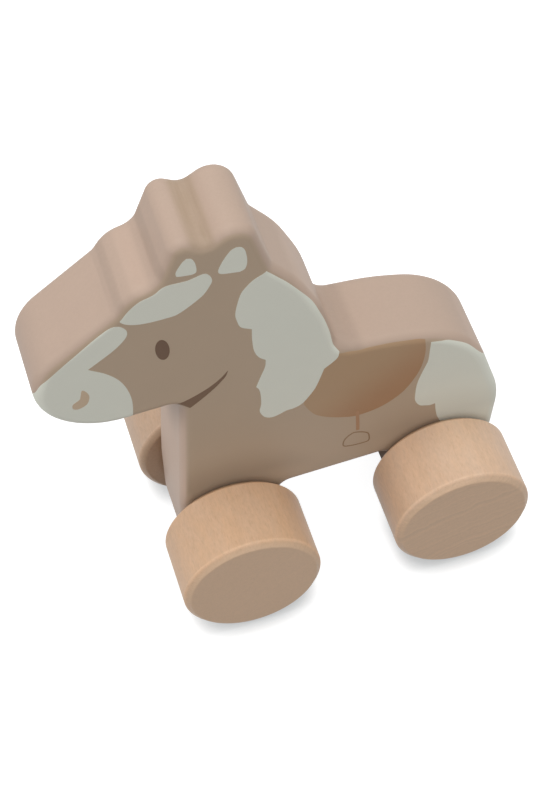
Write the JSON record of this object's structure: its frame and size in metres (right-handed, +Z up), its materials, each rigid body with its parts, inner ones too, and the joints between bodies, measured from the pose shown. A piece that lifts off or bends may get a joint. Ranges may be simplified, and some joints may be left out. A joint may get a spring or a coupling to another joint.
{
  "type": "push-along toy horse",
  "caption": "Wooden push-along toy: a flat board horse with rounded edges that rolls on solid wooden wheels joined in pairs by dowel axles.",
  "frame": {"origin": "on the floor, below the middle of the whole length and width", "axes": "+X to the nose, +Y to the horse's left, +Z up"},
  "size_m": [0.113, 0.0644, 0.1285],
  "materials": {
    "painted_wood": "satin paint",
    "beech": "smooth, clear satin",
    "dowel": "smooth, bare"
  },
  "bodies": {
    "horse": {"horse_body": "painted_wood"},
    "front_wheels": {"front_axle": "dowel", "front_left_wheel": "beech", "front_right_wheel": "beech"},
    "rear_wheels": {"rear_axle": "dowel", "rear_left_wheel": "beech", "rear_right_wheel": "beech"}
  },
  "joints": [
    {"name": "front_roll", "type": "hinge", "parent": "horse", "child": "front_wheels", "pos_m": [0.01725, 0, 0.018], "axis": [0, 1, 0], "continuous": true},
    {"name": "rear_roll", "type": "hinge", "parent": "horse", "child": "rear_wheels", "pos_m": [-0.03855, 0, 0.018], "axis": [0, 1, 0], "continuous": true}
  ]
}
